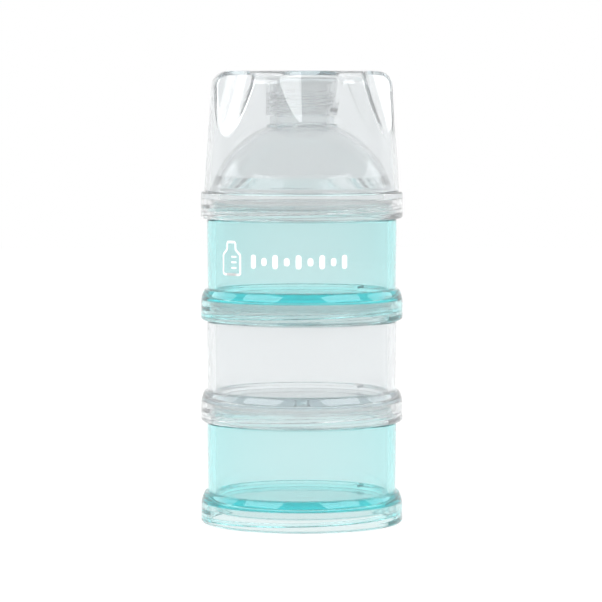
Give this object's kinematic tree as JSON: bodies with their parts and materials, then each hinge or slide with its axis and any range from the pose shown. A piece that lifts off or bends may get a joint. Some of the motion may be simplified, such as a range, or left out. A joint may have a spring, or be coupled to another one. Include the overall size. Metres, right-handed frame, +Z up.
{
  "type": "stacking formula dispenser",
  "caption": "Round stacking milk-powder dispenser: see-through tiers that screw together under a domed pouring funnel with a screw spout cap and a fluted dust cap.",
  "frame": {"origin": "centre of the round base, on the surface the dispenser stands on", "axes": "+Z up along the common axis of all the screw joints, -Y towards the printed front, +X to the right"},
  "size_m": [0.07, 0.07, 0.1566],
  "materials": {
    "aqua_plastic": "clear aqua-tinted moulded plastic",
    "clear_plastic": "clear moulded plastic",
    "white_ink": "white printed ink",
    "clear_silicone": "translucent clear silicone"
  },
  "bodies": {
    "bottom_tier": {"bottom_tier": "aqua_plastic"},
    "middle_tier": {"middle_tier": "clear_plastic"},
    "top_tier": {"top_tier": "aqua_plastic"},
    "seal_ring_lower": {"seal_ring_lower": "clear_silicone"},
    "seal_ring_middle": {"seal_ring_middle": "clear_silicone"},
    "seal_ring_upper": {"seal_ring_upper": "clear_silicone"},
    "funnel_lid": {"funnel_lid": "clear_plastic"},
    "spout_cap": {"spout_cap": "clear_plastic"},
    "spout_cap_liner": {"spout_cap_liner": "clear_silicone"},
    "outer_cap": {"outer_cap": "clear_plastic"}
  },
  "joints": [
    {"name": "lower_rise", "type": "slide", "parent": "bottom_tier", "child": "seal_ring_lower", "axis": [0, 0, 1], "range_m": [0, 0.0101]},
    {"name": "lower_screw", "type": "hinge", "parent": "seal_ring_lower", "child": "middle_tier", "pos_m": [0, 0, 0.03525], "axis": [0, 0, 1], "range_deg": [0, 720]},
    {"name": "middle_rise", "type": "slide", "parent": "middle_tier", "child": "seal_ring_middle", "axis": [0, 0, 1], "range_m": [0, 0.0101]},
    {"name": "middle_screw", "type": "hinge", "parent": "seal_ring_middle", "child": "top_tier", "pos_m": [0, 0, 0.0705], "axis": [0, 0, 1], "range_deg": [0, 720]},
    {"name": "upper_rise", "type": "slide", "parent": "top_tier", "child": "seal_ring_upper", "axis": [0, 0, 1], "range_m": [0, 0.0101]},
    {"name": "upper_screw", "type": "hinge", "parent": "seal_ring_upper", "child": "funnel_lid", "pos_m": [0, 0, 0.10575], "axis": [0, 0, 1], "range_deg": [0, 720]},
    {"name": "spout_rise", "type": "slide", "parent": "funnel_lid", "child": "spout_cap_liner", "axis": [0, 0, 1], "range_m": [0, 0.0126]},
    {"name": "spout_screw", "type": "hinge", "parent": "spout_cap_liner", "child": "spout_cap", "pos_m": [0, 0, 0.14135], "axis": [0, 0, 1], "range_deg": [0, 900]},
    {"name": "cap_lift", "type": "slide", "parent": "spout_cap_liner", "child": "outer_cap", "axis": [0, 0, 1], "range_m": [0, 0.045]}
  ],
  "couplings": [
    {"joint": "lower_rise", "follows": "lower_screw", "m_per_rad": 0.00079577},
    {"joint": "middle_rise", "follows": "middle_screw", "m_per_rad": 0.00079577},
    {"joint": "upper_rise", "follows": "upper_screw", "m_per_rad": 0.00079577},
    {"joint": "spout_rise", "follows": "spout_screw", "m_per_rad": 0.00079577}
  ]
}
